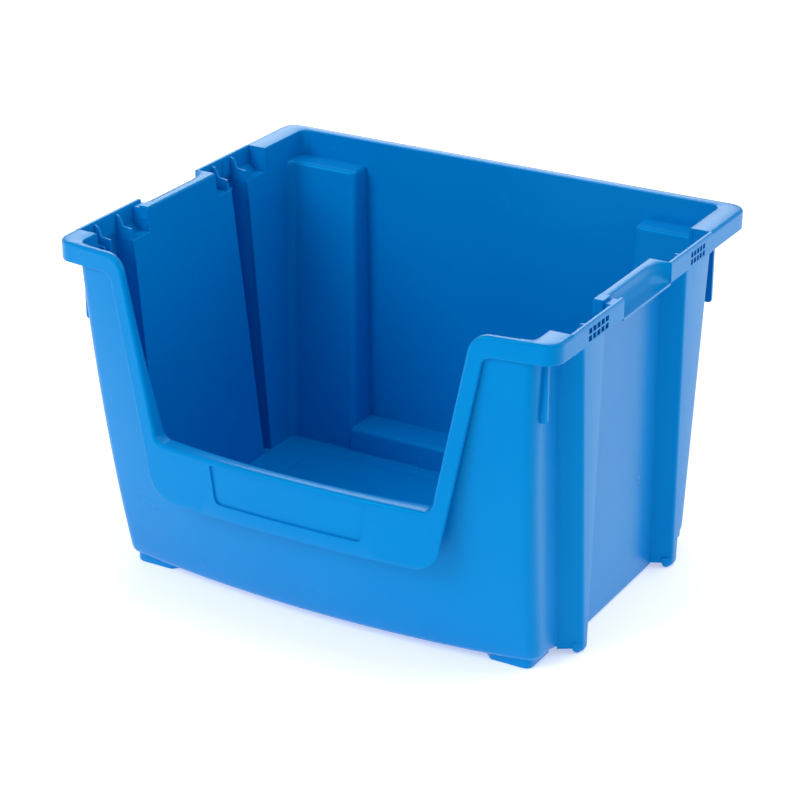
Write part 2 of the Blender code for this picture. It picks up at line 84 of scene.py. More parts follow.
OPENING_HALF = 140.3
OPENING_LEAN = 0.205
SILL_Z = 128.5
APRON_LOW = 83.6
APRON_R = 20.0
TOP_R = 15.0
LOW_R = 8.0
RIM_R = 13.0
SHOULDER_X = 161.0
FIN_R = 3.5
BAND = 12.2
LEDGE_TOP = 245.0
LEDGE_LOW = 243.6
SILL_ROW = 127.3
WALL_TOP = 263.8
STEP_TOP = 33.0
STEP_Y = 114.5
FLOOR_TOP = 13.0
FLOOR_TUCK = 0.8
WALL_LOW = 6.2
CURL_R = 6.0
PLATE = 2.4
OVERLAP = 0.06

DEEP_BLUE = (0.0, 0.222, 0.63, 1.0)
LIGHT_BLUE = (0.0, 0.24, 0.655, 1.0)
SCUFF_BLUE = (0.05, 0.32, 0.72, 1.0)
SHEEN_BLUE = (0.0, 0.55, 0.8, 1.0)
WHITE = (1.0, 1.0, 1.0, 1.0)
STUDIO_LEVEL = 0.42

CAMERA_TARGET = (1.6, -6.4, 129.8)
CAMERA_DISTANCE = 1907.2
CAMERA_AZIMUTH = 30.03
CAMERA_ELEVATION = 23.94
CAMERA_LENS = 115.76


def taper(ends, z):
    """A straight taper's value at height z."""
    return ends[0] + (ends[1] - ends[0]) * z / HEIGHT


def spread(start, end, count):
    """Evenly spaced values from start to end, both included."""
    return [start + (end - start) * i / count for i in range(count)] + [end]


def through(z, stations):
    """The parabola through three (height, value) stations."""
    total = 0.0
    for i, (height, value) in enumerate(stations):
        for j, (other, _) in enumerate(stations):
            if i != j:
                value *= (z - other) / (height - other)
        total += value
    return total


def front_wall_y(x, z):
    """The inner face of the bowed front wall."""
    middle = through(z, ((265.0, -158.4), (128.0, -154.0), (15.0, -129.0)))
    bow = through(z, ((265.0, 0.00042), (128.0, 0.0007), (15.0, 0.00055)))
    return middle + bow * x * x


def front_face_y(x):
    """The upright outer face of the front skirt, the bands and the apron."""
    return -REAR_Y + 0.0004 * x * x


def opening_x(z):
    """Half the opening's width along its straight side."""
    return OPENING_HALF - OPENING_LEAN * (HEIGHT - z)


# ---------------------------------------------------------------- materials


def node(tree, kind, **values):
    """A shader node with some inputs or properties set."""
    made = tree.nodes.new(kind)
    for name, value in values.items():
        if name in made.inputs:
            made.inputs[name].default_value = value
        else:
            setattr(made, name, value)
    return made


def moulded_plastic():
    """Satin polypropylene: faint tone drift, uneven gloss, a fine texture and soft scuffs."""
    material = bpy.data.materials.new("satin_polypropylene")
    material.use_nodes = True
    tree = material.node_tree
    link = tree.links.new
    shader = tree.nodes["Principled BSDF"]
    shader.inputs["IOR"].default_value = 1.45
    shader.inputs["Specular Tint"].default_value = SHEEN_BLUE
    place = node(tree, "ShaderNodeTexCoord")
    drift = node(tree, "ShaderNodeTexNoise", Scale=9.0, Detail=3.0)
    tone = node(tree, "ShaderNodeValToRGB")
    tone.color_ramp.elements[0].position = 0.3
    tone.color_ramp.elements[0].color = DEEP_BLUE
    tone.color_ramp.elements[1].position = 0.7
    tone.color_ramp.elements[1].color = LIGHT_BLUE
    scuff = node(tree, "ShaderNodeTexNoise", Scale=60.0, Detail=6.0, Roughness=0.7)
    scuff_mask = node(tree, "ShaderNodeMapRange")
    scuff_mask.inputs["From Min"].default_value = 0.62
    scuff_mask.inputs["From Max"].default_value = 0.8
    scuff_mask.inputs["To Max"].default_value = 0.1
    mix = node(tree, "ShaderNodeMix", data_type="RGBA")
    mix.inputs["B"].default_value = SCUFF_BLUE
    gloss = node(tree, "ShaderNodeTexNoise", Scale=24.0, Detail=4.0)
    gloss_range = node(tree, "ShaderNodeMapRange")
    gloss_range.inputs["To Min"].default_value = 0.22
    gloss_range.inputs["To Max"].default_value = 0.3
    grain = node(tree, "ShaderNodeTexNoise", Scale=1400.0, Detail=2.0)
    bump = node(tree, "ShaderNodeBump", Strength=0.06, Distance=0.0002)
    for texture in (drift, scuff, gloss, grain):
        link(place.outputs["Object"], texture.inputs["Vector"])
    link(drift.outputs["Fac"], tone.inputs["Fac"])
    link(scuff.outputs["Fac"], scuff_mask.inputs["Value"])
    link(scuff_mask.outputs["Result"], mix.inputs["Factor"])
    link(tone.outputs["Color"], mix.inputs["A"])
    link(mix.outputs["Result"], shader.inputs["Base Color"])
    link(gloss.outputs["Fac"], gloss_range.inputs["Value"])
    link(gloss_range.outputs["Result"], shader.inputs["Roughness"])
    link(grain.outputs["Fac"], bump.inputs["Height"])
    link(bump.outputs["Normal"], shader.inputs["Normal"])
    return material


PLASTIC = moulded_plastic()


# ---------------------------------------------------------------- mesh makers


def piece(name, points, faces, side=1, replaced=(), crease=32.0, bevel=0.0):
    """A closed body from points in millimetres that rides on the root and stands for CAD nodes."""
    mesh = bpy.data.meshes.new(name)
    body = bmesh.new()
    corners = [body.verts.new((side * x * MM, y * MM, z * MM)) for x, y, z in points]
    for face in faces:
        body.faces.new([corners[i] for i in face])
    bmesh.ops.remove_doubles(body, verts=body.verts, dist=1e-7)
    bmesh.ops.recalc_face_normals(body, faces=body.faces)
    limit = math.radians(crease)
    for edge in body.edges:
        edge.smooth = bool(bevel) or edge.calc_face_angle(0.0) < limit
    for face in body.faces:
        face.smooth = True
    body.to_mesh(mesh)
    body.free()
    mesh.materials.append(PLASTIC)
    made = bpy.data.objects.new(name, mesh)
    bpy.context.scene.collection.objects.link(made)
    if bevel:
        rounding = made.modifiers.new("edge_radius", "BEVEL")
        rounding.width = bevel * MM
        rounding.segments = 3
        rounding.limit_method = "ANGLE"
        rounding.angle_limit = limit
        rounding.harden_normals = True
    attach(made, "root")
    if replaced:
        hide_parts(*replaced)
    return made


def loft(name, loops, side=1, **looks):
    """A body through matching closed loops, with an end face on the first and the last."""
    count = len(loops[0])
    points = [point for loop in loops for point in loop]
    faces = [list(range(count)), list(range(len(points) - count, len(points)))]
    for row in range(len(loops) - 1):
        for i in range(count):
            j = (i + 1) % count
            low = row * count
            faces.append((low + i, low + j, low + count + j, low + count + i))
    return piece(name, points, faces, side, **looks)


def cells(name, us, vs, front, back, side=1, holes=(), **looks):
    """A body of grid cells between a front and a back surface, with some cells left out."""
    index = {}
    points = []
    faces = []

    def corner(layer, i, j):
        if (layer, i, j) not in index:
            index[layer, i, j] = len(points)
            points.append((front, back)[layer](us[i], vs[j]))
        return index[layer, i, j]

    def is_solid(i, j):
        return 0 <= i < len(us) - 1 and 0 <= j < len(vs) - 1 and (i, j) not in holes

    def add_cell(i, j):
        ring = ((i, j), (i + 1, j), (i + 1, j + 1), (i, j + 1))
        beside = ((i, j - 1), (i + 1, j), (i, j + 1), (i - 1, j))
        faces.append([corner(0, *at) for at in ring])
        faces.append([corner(1, *at) for at in reversed(ring)])
        for k, other in enumerate(beside):
            a, b = ring[k], ring[(k + 1) % 4]
            if not is_solid(*other):
                faces.append([corner(0, *b), corner(0, *a), corner(1, *a), corner(1, *b)])

    for i in range(len(us) - 1):
        for j in range(len(vs) - 1):
            if is_solid(i, j):
                add_cell(i, j)
    return piece(name, points, faces, side, **looks)


def rounded(outline, radii, steps=4):
    """A plan outline with arcs in place of the corners that have a radius."""
    result = []
    count = len(outline)
    for i, (corner, radius) in enumerate(zip(outline, radii)):
        here = Vector(corner)
        if not radius:
            result.append(tuple(here))
            continue
        before = (Vector(outline[i - 1]) - here).normalized()
        after = (Vector(outline[(i + 1) % count]) - here).normalized()
        for t in spread(0.0, 1.0, steps):
            bend = before * radius * (1 - t) ** 2 + after * radius * t**2
            result.append(tuple(here + bend))
    return result


def both(*bases):
    """The CAD nodes of both sides for some base names."""
    return [f"{base}_{tag}" for base in bases for tag in ("left", "right")]


# ---------------------------------------------------------------- front wall and corners


def corner_start(z):
    """Where the front wall ends in x and the rounded corner begins."""
    return taper(SIDE_WALL_X, z) - 9.0


def bend_point(z, t, offset):
    """A point of the rounded plan corner between front and side wall, t from front to side."""
    start_x = corner_start(z)
    side_x = taper(SIDE_WALL_X, z) - WALL + offset
    start = (start_x, front_wall_y(start_x, z) - offset)
    middle = (side_x, front_wall_y(side_x, z) - offset)
    end = (side_x, front_wall_y(side_x, z) + 9.0)
    weights = ((1 - t) * (1 - t), 2 * t * (1 - t), t * t)
    return tuple(sum(w * p[k] for w, p in zip(weights, (start, middle, end))) for k in (0, 1))


def opening_centre_x():
    """The middle of the arc at the opening's top corner."""
    return opening_x(SKIRT_LOW) + 15.3


def low_centre_x():
    """The middle of the arc at the opening's lower corner."""
    return opening_x(SILL_Z + LOW_R) - LOW_R


def cheek_start(z, inset=1.2):
    """The wall's edge beside the opening, tucked into the opening's edge strip."""
    if z < SILL_Z + LOW_R:
        reach = LOW_R + inset
        drop = min(SILL_Z + LOW_R - z, reach)
        return low_centre_x() + math.sqrt(reach * reach - drop * drop)
    if z > SKIRT_LOW + 2.9:
        reach = TOP_R - inset
        rise = min(z - SKIRT_LOW, reach)
        return opening_centre_x() - math.sqrt(reach * reach - rise * rise)
    return opening_x(z) + inset * 1.02


def wall_heights():
    """Row heights of the front wall: close together at its foot and round the opening's corners."""
    rows = [WALL_LOW + CURL_R * (1 - math.cos(a)) for a in spread(0.0, math.pi / 2, 5)]
    rows += spread(WALL_LOW + CURL_R, SILL_ROW, 14)[1:]
    rows += [127.5, 128.2, 129.3, 130.8, 133.0, 136.5]
    rows += spread(136.5, NOTCH_LOW, 12)[1:]
    return rows + [SKIRT_LOW + 2.9, 255.5, 258.0, 260.3, 262.2, 263.4, WALL_TOP]


def tuck(z):
    """How far the wall's foot has curled in under the floor at height z."""
    drop = max(WALL_LOW + CURL_R - z, 0.0)
    return CURL_R - math.sqrt(max(CURL_R * CURL_R - drop * drop, 0.0))


def front_wall():
    """The bowed front wall, both rounded corners and the side walls up to the pilasters."""
    side_part = [("side", t) for t in (1.0, 0.56, 0.28)]
    bend_part = [("bend", t) for t in spread(1.0, 0.0, 10)]
    cheek_part = [("cheek", t) for t in spread(1.0, 0.0, 6)][1:]
    half = side_part + bend_part + cheek_part
    middle = [("middle", t) for t in spread(1.0, -1.0, 28)][1:-1]
    us = [(kind, t, 1) for kind, t in half] + [(kind, t, 1) for kind, t in middle]
    us += [(kind, t, -1) for kind, t in reversed(half)]
    vs = wall_heights()
    sill_row = vs.index(SILL_ROW)
    first, last = len(half) - 1, len(half) + len(middle)
    holes = [(i, j) for i in range(first, last) for j in range(sill_row, len(vs) - 1)]
    holes += [(i, j) for i in (0, len(us) - 2) for j in range(vs.index(NOTCH_LOW), len(vs) - 1)]

    def at(u, z, offset):
        kind, t, side = u
        curl = tuck(z)
        if kind == "side":
            x, start_y = bend_point(z, 1.0, offset)
            end_y = taper(FRONT_FLANK_FOOT, z) + 1.9
            return (side * (x - curl * min(1.0, 1.8 * (1 - t))), start_y + (end_y - start_y) * t, z)
        if kind == "bend":
            x, y = bend_point(z, t, offset)
            return (side * (x - curl * min(1.0, 2 * t)), y + curl * min(1.0, 2 - 2 * t), z)
        edge = cheek_start(max(z, SILL_ROW))
        x = t * edge if kind == "middle" else edge + t * (corner_start(z) - edge)
        return (side * x, front_wall_y(x, z) - offset + curl, z)

    bases = ("front_cheek", "front_corner_post", "side_wall_front")
    cells(
        "front_wall",
        us,
        vs,
        lambda u, z: at(u, z, WALL),
        lambda u, z: at(u, z, 0.0),
        holes=holes,
        replaced=["front_lower_wall"] + both(*bases),
    )


# ---------------------------------------------------------------- opening frame, bands and apron


def half_stations():
    """Stations of the frame's right half: outer edge, inner edge, end of the plate, and edge radius."""
    stations = []

    def add(outer, inner, end, radius):
        stations.append((Vector(outer), Vector(inner), Vector(end), radius))

    def add_front(x, z, end_x, end_z, radius):
        inner = (x, front_wall_y(x, z) + OVERLAP, z)
        add((x, front_face_y(x), z), inner, (end_x, front_face_y(end_x), end_z), radius)

    arc_x = SKIRT_X - RIM_R
    arc_y = front_face_y(arc_x) + RIM_R
    for y in (FRONT_POCKETS[0], arc_y):
        add((SKIRT_X, y, HEIGHT), (RIM_INNER_X, y, HEIGHT), (SKIRT_X, y, SKIRT_LOW), 2.2)
    for t in spread(0.0, 1.0, 10)[1:]:
        angle = -t * math.pi / 2
        x, y = arc_x + RIM_R * math.cos(angle), arc_y + RIM_R * math.sin(angle)
        inner = bend_point(HEIGHT, 1 - t, -OVERLAP)
        add((x, y, HEIGHT), (*inner, HEIGHT), (x, y, SKIRT_LOW), 2.2)
    for x in (183.0, 179.0, 174.0, 169.0, 165.0, SHOULDER_X):
        share = (x - SHOULDER_X) / (arc_x - SHOULDER_X)
        inner_x = SHOULDER_X + share * (corner_start(HEIGHT) - SHOULDER_X)
        inner = (inner_x, front_wall_y(inner_x, HEIGHT) + OVERLAP, HEIGHT)
        add((x, front_face_y(x), HEIGHT), inner, (x, front_face_y(x), SKIRT_LOW), 2.4)
    lean = math.atan(OPENING_LEAN)
    centre_x = opening_centre_x()
    fillet_x = opening_x(SKIRT_LOW - 7.0) + BAND + 6.2
    for t in spread(0.0, 1.0, 12):
        angle = math.pi / 2 + t * (math.pi / 2 - lean)
        x, z = centre_x + TOP_R * math.cos(angle), SKIRT_LOW + TOP_R * math.sin(angle)
        bend = t * (math.pi / 2 - lean)
        end_x = fillet_x + 1.5 * (1 - t) - 6.2 * math.sin(bend)
        end_z = SKIRT_LOW - 6.2 * (1 - math.cos(bend))
        add_front(x, z, end_x, end_z, 2.6)
    for t in spread(0.0, 1.0, 14)[1:-1]:
        z = 253.0 + t * (134.9 - 253.0)
        end_z = 245.0 + t * (124.0 - 245.0)
        add_front(opening_x(z), z, opening_x(end_z) + BAND, end_z, 2.6)
    corner_x = opening_x(APRON_LOW + APRON_R) + BAND
    for t in spread(0.0, 1.0, 12):
        angle = -lean - t * (math.pi / 2 - lean)
        x, z = low_centre_x() + LOW_R * math.cos(angle), SILL_Z + LOW_R + LOW_R * math.sin(angle)
        if t < 0.35:
            end_z = 124.0 - (t / 0.35) * 20.4
            add_front(x, z, opening_x(end_z) + BAND, end_z, 2.8)
            continue
        turn = (t - 0.35) / 0.65 * math.pi / 2
        end_x = corner_x - APRON_R + APRON_R * math.cos(turn)
        add_front(x, z, end_x, APRON_LOW + APRON_R - APRON_R * math.sin(turn), 2.8)
    for x, end_x in sill_pairs(corner_x - APRON_R):
        add_front(x, SILL_Z, end_x, APRON_LOW, 2.8)
    return stations


def sill_pairs(corner_x):
    """Matching positions along the sill and along the apron's lower edge, close by the label's ends."""
    start = low_centre_x()
    pairs = []
    for t in spread(0.0, 1.0, 6)[1:]:
        pairs.append((start + t * (72.0 - start), corner_x + t * (66.0 - corner_x)))
    pairs += [(64.9, 58.8), (64.5, 58.4), (64.0, 57.9), (63.0, 56.9), (61.5, 55.4), (59.5, 53.5)]
    return pairs + [(50.0, 45.0), (38.0, 35.0), (26.0, 24.0), (13.0, 12.0)]


def plate_rows(outer, end, radius):
    """How far down a station's plate its points lie, and how deep: the label is sunk between them."""
    if abs(outer.z - SILL_Z) > 0.01 or abs(outer.x) > 74.0:
        start = (radius + 0.4) / (end - outer).length
        return [(share, 0.0) for share in spread(start, 0.9, 4)]
    edge = max(64.5 - abs(outer.x), 0.0)
    rounding = 4.0 - math.sqrt(max(16.0 - (4.0 - min(edge, 4.0)) ** 2, 0.0))
    span = SILL_Z - APRON_LOW
    top = (SILL_Z - 124.2) / span
    low = (SILL_Z - 94.8 - rounding) / span
    depth = 1.7 if abs(outer.x) <= 64.6 else 0.0
    return (top, 0.0), (top + 0.008, depth), (0.4, depth), (low - 0.008, depth), (low, 0.0)


def frame_ring(outer, inner, end, radius):
    """The closed cross-section at one station: rounded top edge, plate, rolled lower edge, back."""
    depth = (inner - outer).normalized()
    down = (end - outer).normalized()
    ring = [inner + down * PLATE, inner + down * 1.0]
    ring += [inner + down * 0.3 - depth * 0.3, inner - depth * 1.0]
    for angle in spread(0.0, math.pi / 2, 5):
        along, drop = radius * (1 - math.sin(angle)), radius * (1 - math.cos(angle))
        ring.append(outer + depth * along + down * drop)
    for share, offset in plate_rows(outer, end, radius):
        ring.append(outer + (end - outer) * share + depth * offset)
    ring += [end - down * 0.9, end - down * 0.25 + depth * 0.25, end + depth * 0.9, end + depth * PLATE]
    ring += [outer + (end - outer) * 0.5 + depth * PLATE, outer + (down + depth) * PLATE]
    if outer.y < 0 and abs(depth.x) < 1e-6:
        slope = (end.y - outer.y) / (outer.z - end.z)
        for point in ring[10:]:
            point.y += front_face_y(point.x) - outer.y - slope * (outer.z - point.z)
    return [tuple(p) for p in ring]


def opening_frame():
    """The rim round the front corners, the opening's edge, its bands, the sill and the apron, in one."""
    right = half_stations()
    left = []
    for outer, inner, end, radius in reversed(right):
        flip = Vector((-1.0, 1.0, 1.0))
        left.append((outer * flip, inner * flip, end * flip, radius))
    outer, end = Vector((0, -REAR_Y, SILL_Z)), Vector((0, -REAR_Y, APRON_LOW))
    centre = [(outer, Vector((0, front_wall_y(0, SILL_Z) + OVERLAP, SILL_Z)), end, 2.8)]
    bases = ("opening_edge", "opening_band", "rim_front_corner")
    loft(
        "opening_frame",
        [frame_ring(*station) for station in right + centre + left],
        replaced=["opening_sill", "apron_panel"] + both(*bases),
    )


# ---------------------------------------------------------------- rear rim and rear wall


def rim_ring(outer, inner):
    """The rear rim's L section with rounded edges."""
    outer, inner = Vector(outer), Vector(inner)
    return frame_ring(outer, inner, outer - Vector((0, 0, HEIGHT - SKIRT_LOW)), 2.2)


def rear_rim():
    """The rim from the right rear pockets round the back to the left ones."""
    right = []
    for y in (REAR_POCKETS[1], 120.0, 145.0):
        right.append(((SKIRT_X, y, HEIGHT), (RIM_INNER_X, y, HEIGHT)))
    for angle in spread(0.0, math.pi / 2, 10):
        c, s = math.cos(angle), math.sin(angle)
        inner = (174.9 + 7.0 * c, 146.9 + 7.0 * s, HEIGHT)
        right.append(((188.0 + 12.0 * c, REAR_Y - 12.0 + 12.0 * s, HEIGHT), inner))
    stations = right + [((0, REAR_Y, HEIGHT), (0, 153.9, HEIGHT))]
    for outer, inner in reversed(right):
        stations.append(((-outer[0], *outer[1:]), (-inner[0], *inner[1:])))
    loft(
        "rear_rim",
        [rim_ring(*station) for station in stations],
        replaced=["rim_rear"] + both("rim_rear_corner"),
    )


def rear_wall():
    """The rear wall, carried round the corners above the ledges into the rear part of both side walls."""
    half = [("side", share, 1) for share in (0.0, 0.165, 0.356, 0.7, 1.0)]
    half += [("bend", t, 1) for t in spread(0.0, 1.0, 8)[1:]]
    columns = len(half)
    half += [("rear", t, 1) for t in (1.0, 0.5)]
    us = half + [("rear", 0.0, 1)] + [(kind, t, -1) for kind, t, _ in reversed(half)]
    vs = [2.0, STEP_TOP - 1.5] + spread(STEP_TOP, LEDGE_LOW, 6) + [NOTCH_LOW, WALL_TOP]
    ledge_row = vs.index(LEDGE_LOW)
    holes = [(i, 0) for i in range(4, len(us) // 2)]
    holes += [(i, j) for i in range(4, columns) for j in range(1, ledge_row)]
    holes += [(0, ledge_row + 1), (1, ledge_row + 1)]
    holes += [(len(us) - 2 - i, j) for i, j in holes]

    def at(u, z, offset):
        kind, t, side = u
        x, y = taper(SIDE_WALL_X, z) - WALL + offset, taper(REAR_WALL_Y, z) + offset
        radius = 7.0 + offset
        if kind == "side":
            start = taper(REAR_MOUTH_END, z)
            stop = max(y - radius, 120.0) if z >= LEDGE_LOW else taper(SIDE_WALL_END, z)
            return (side * x, start + (stop - start) * t, z)
        if kind == "bend":
            angle = t * math.pi / 2
            x -= radius - radius * math.cos(angle)
            return (side * x, y - radius + radius * math.sin(angle), z)
        return (side * t * (taper(COLUMN_INNER_X, z) + 1.5), y, z)

    cells(
        "rear_wall_panel",
        us,
        vs,
        lambda u, z: at(u, z, WALL),
        lambda u, z: at(u, z, 0.0),
        holes=holes,
        replaced=["rear_wall"] + both("rear_upper_corner", "side_wall_rear"),
    )


def rear_column(tag, side):
    """A corner column with rounded edges, closed at the top by its ledge."""
    radius = 3.5
    rows = [(z, 0.0, 0.0) for z in spread(11.0, LEDGE_TOP - radius, 6)]
    for angle in spread(0.0, math.pi / 2, 5)[1:]:
        rows.append((LEDGE_TOP - radius + radius * math.sin(angle), radius * (1 - math.cos(angle)), angle))
    rows.append((LEDGE_TOP, 20.5, math.pi / 2))
    us = [("start", 0.0), ("start", 1.0)] + [("hollow", t) for t in spread(0.0, 1.0, 4)[1:]]
    us += [("edge", t) for t in spread(0.0, 1.0, 6)] + [("end", 1.0)]

    def at(u, row, depth):
        z, inset, angle = row
        kind, t = u
        inset += depth * math.cos(angle)
        x0, y0 = taper(COLUMN_INNER_X, z) + inset, taper(COLUMN_FRONT_Y, z) + inset
        wall_x = taper(SIDE_WALL_X, z) - 1.0
        z -= depth * math.sin(angle)
        if kind == "start":
            return (wall_x, y0 - 9.0 + 1.5 * t, z)
        if kind == "hollow":
            turn = t * math.pi / 2
            x = wall_x - 1.5 - 6.0 * (1 - math.cos(turn))
            return (x, y0 - 7.5 + 7.5 * math.sin(turn), z)
        if kind == "edge":
            turn = t * math.pi / 2
            return (x0 + 5.0 - 5.0 * math.sin(turn), y0 + 5.0 - 5.0 * math.cos(turn), z)
        return (x0, max(taper(REAR_WALL_Y, z) + 1.2, y0 + 5.2), z)

    cells(
        "rear_column_shell_" + tag,
        us,
        rows,
        lambda u, row: at(u, row, 0.0),
        lambda u, row: at(u, row, 2.2),
        side,
        replaced=[f"rear_column_{tag}", f"rear_ledge_{tag}"],
    )


def rear_step():
    """The step at the foot of the rear wall, its top edge rounded."""
    rear = taper(REAR_WALL_Y, STEP_TOP) + 1.2
    y, z, t = STEP_Y, STEP_TOP, 2.3
    section = [(y - 1.0, 10.5)]
    for angle in spread(0.0, math.pi / 2, 5):
        section.append((y + 4.0 - 4.0 * math.cos(angle), z - 4.0 + 4.0 * math.sin(angle)))
    section += [(rear, z), (rear, z - t), (y + 4.0, z - t), (y + t, z - 4.0), (y - 1.0 + t, 10.5)]
    half = taper(COLUMN_INNER_X, 20.0) + 1.2
    loops = [[(x, py, pz) for py, pz in section] for x in (-half, half)]
    loft("rear_step_moulding", loops, replaced=["rear_step"])


def floor_panel():
    """The floor with its slightly raised middle, tucked into the foot of every wall."""
    half = taper(SIDE_WALL_X, 11.0) - 1.4
    column_x, column_y = taper(COLUMN_INNER_X, 12.0) + 1.0, taper(COLUMN_FRONT_Y, 12.0) + 1.0
    rear = [(half, column_y - 7.0), (half, column_y), (column_x, column_y), (column_x, STEP_Y + 1.0)]

    def outline(z):
        curl = tuck(z)
        right = [(x, front_wall_y(x, z) + curl - FLOOR_TUCK) for x in spread(0.0, half - 10.0, 10)]
        for t in spread(0.0, 1.0, 6):
            x, y = bend_point(z, t, FLOOR_TUCK)
            right.append((x - curl * min(1.0, 2 * t), y + curl * min(1.0, 2 - 2 * t)))
        right += rear
        return right + [(-x, y) for x, y in reversed(right[1:])]

    loops = [[(x, y, z) for x, y in outline(z)] for z in (8.7, FLOOR_TOP)]
    loft("floor_plate", loops, replaced=["floor_panel"])
    corners = ((-140.0, -92.0), (140.0, -92.0), (140.0, 98.0), (-140.0, 98.0))
    raised = rounded(corners, (14.0,) * 4, 8)
    loops = []
    for z, inset in ((12.0, 0.0), (FLOOR_TOP, 0.0), (FLOOR_TOP + 0.5, 0.6), (FLOOR_TOP + 0.7, 2.0)):
        scale = 1 - inset / 95.0
        loops.append([(x * (1 - inset / 140.0), (y - 3.0) * scale + 3.0, z) for x, y in raised])
    loft("floor_plateau", loops)


# ---------------------------------------------------------------- sides


def side_panel(tag, side):
    """The middle of a side wall, its top edge stepped down where the pockets open into the bin."""
    us = [0.0, 0.165, 0.5, 0.855, 1.0]
    vs = spread(2.0, NOTCH_LOW, 8) + [WALL_TOP]
    holes = [(0, 8), (3, 8)]

    def at(u, z, offset):
        start, end = taper(FRONT_MOUTH_END, z), taper(REAR_FLANK_FOOT, z) + 1.9
        return (taper(SIDE_WALL_X, z) - WALL + offset, start + (end - start) * u, z)

    cells(
        f"side_panel_middle_{tag}",
        us,
        vs,
        lambda u, z: at(u, z, WALL),
        lambda u, z: at(u, z, 0.0),
        side,
        holes,
        replaced=[f"side_wall_middle_{tag}"],
        bevel=0.35,
    )


def pilaster(name, foot, edge, mouth_end, end, tag, side, replaced, fin_low=0.0):
    """A hollow pilaster with rounded outer edges, its fin behind the mouth cut off below fin_low."""

    def outline(z):
        root, face = taper(SIDE_WALL_X, z) - 0.6, taper(PILASTER_X, z)
        thin = face - PILASTER_WALL
        foot_y, edge_y, mouth_y, end_y = (taper(ends, z) for ends in (foot, edge, mouth_end, end))
        if z <= fin_low:
            end_y = mouth_y + 2.8
        else:
            drop = FIN_R - min(z - fin_low, FIN_R)
            end_y -= FIN_R - math.sqrt(FIN_R * FIN_R - drop * drop)
        plan = [(root, foot_y - 0.4), (face, edge_y), (face, end_y), (thin, end_y)]
        rear_y = mouth_y + PILASTER_WALL
        plan += [(thin, rear_y), (root, rear_y), (root, mouth_y), (thin, mouth_y)]
        plan += [(thin, edge_y + PILASTER_WALL), (root, foot_y + PILASTER_WALL)]
        return rounded(plan, (0, 2.2, 0.8, 0.5, 0, 0, 0, 0, 0, 0), 5)

    heights = [4.0, 60.0, 120.0, 180.0, 250.2]
    if fin_low:
        heights[1:1] = [fin_low] + [fin_low + rise for rise in (0.1, 0.6, 1.4, 2.4, FIN_R)]
    loops = [[(x, y, z) for x, y in outline(z)] for z in heights]
    loft(f"{name}_{tag}", loops, side, replaced=[replaced[0]])
    pilaster_floor(f"{name}_floor_{tag}", foot, edge, mouth_end, side)
    toe(f"{name}_toe_{tag}", edge, mouth_end, side, [replaced[1]])


def pilaster_floor(name, foot, edge, mouth_end, side):
    """The floor's tongue that closes a pilaster's hollow at its foot."""
    loops = []
    for z in (9.0, 12.8):
        root, face = taper(SIDE_WALL_X, z) - 1.6, taper(PILASTER_X, z) - 1.0
        foot_y, edge_y, mouth_y = (taper(ends, z) + 1.0 for ends in (foot, edge, mouth_end))
        loops.append([(root, foot_y, z), (face, edge_y, z), (face, mouth_y, z), (root, mouth_y, z)])
    loft(name, loops, side)


def toe(name, edge, mouth_end, side, replaced):
    """The rounded toe that a pilaster stands on."""
    loops = []
    for z, inset in ((0.05, 3.0), (0.6, 1.7), (1.6, 0.8), (3.2, 0.1), (9.0, 0.1)):
        near, far = 182.5 + inset, taper(PILASTER_X, z) - inset
        start, stop = taper(edge, z) - 3.2 + inset, taper(mouth_end, z) + PILASTER_WALL - inset
        plan = [(near, start - 1.5), (far, start + 3.2), (far, stop), (near, stop)]
        loops.append([(x, y, z) for x, y in rounded(plan, (0.8, 1.6, 0.8, 0.8), 3)])
    loft(name, loops, side, replaced=replaced)


def perforated_skirt(name, span, holes_span, tag, side, replaced):
    """The thin wall outside a pocket group, with two rows of five small openings."""
    pitch = (holes_span[1] - holes_span[0]) / 5
    ys = [span[0]]
    for i in range(5):
        start = holes_span[0] + i * pitch
        ys += [start + 0.75, start + pitch - 0.75]
    ys.append(span[1])
    zs = [249.4, 250.0, 251.8, 255.9, 257.2, 261.3, 262.8, 263.8, 264.6, HEIGHT]
    shave = {249.4: 0.5, 263.8: 0.1, 264.6: 0.3, HEIGHT: 0.8}
    holes = [(i, j) for i in (1, 3, 5, 7, 9) for j in (2, 4)]
    cells(
        f"{name}_{tag}",
        ys,
        zs,
        lambda y, z: (SKIRT_X - shave.get(z, 0.0), y, z),
        lambda y, z: (SKIRT_X - 3.4 + shave.get(z, 0.0), y, z),
        side,
        holes,
        replaced=replaced,
    )
    start, end = ys[1] - 1.5, ys[-2] + 1.5
    plan = [(196.2, start), (197.2, start), (197.2, end), (196.2, end)]
    loops = [[(x, y, z) for x, y in plan] for z in (250.4, 262.9)]
    loft(f"{name}_backing_{tag}", loops, side)


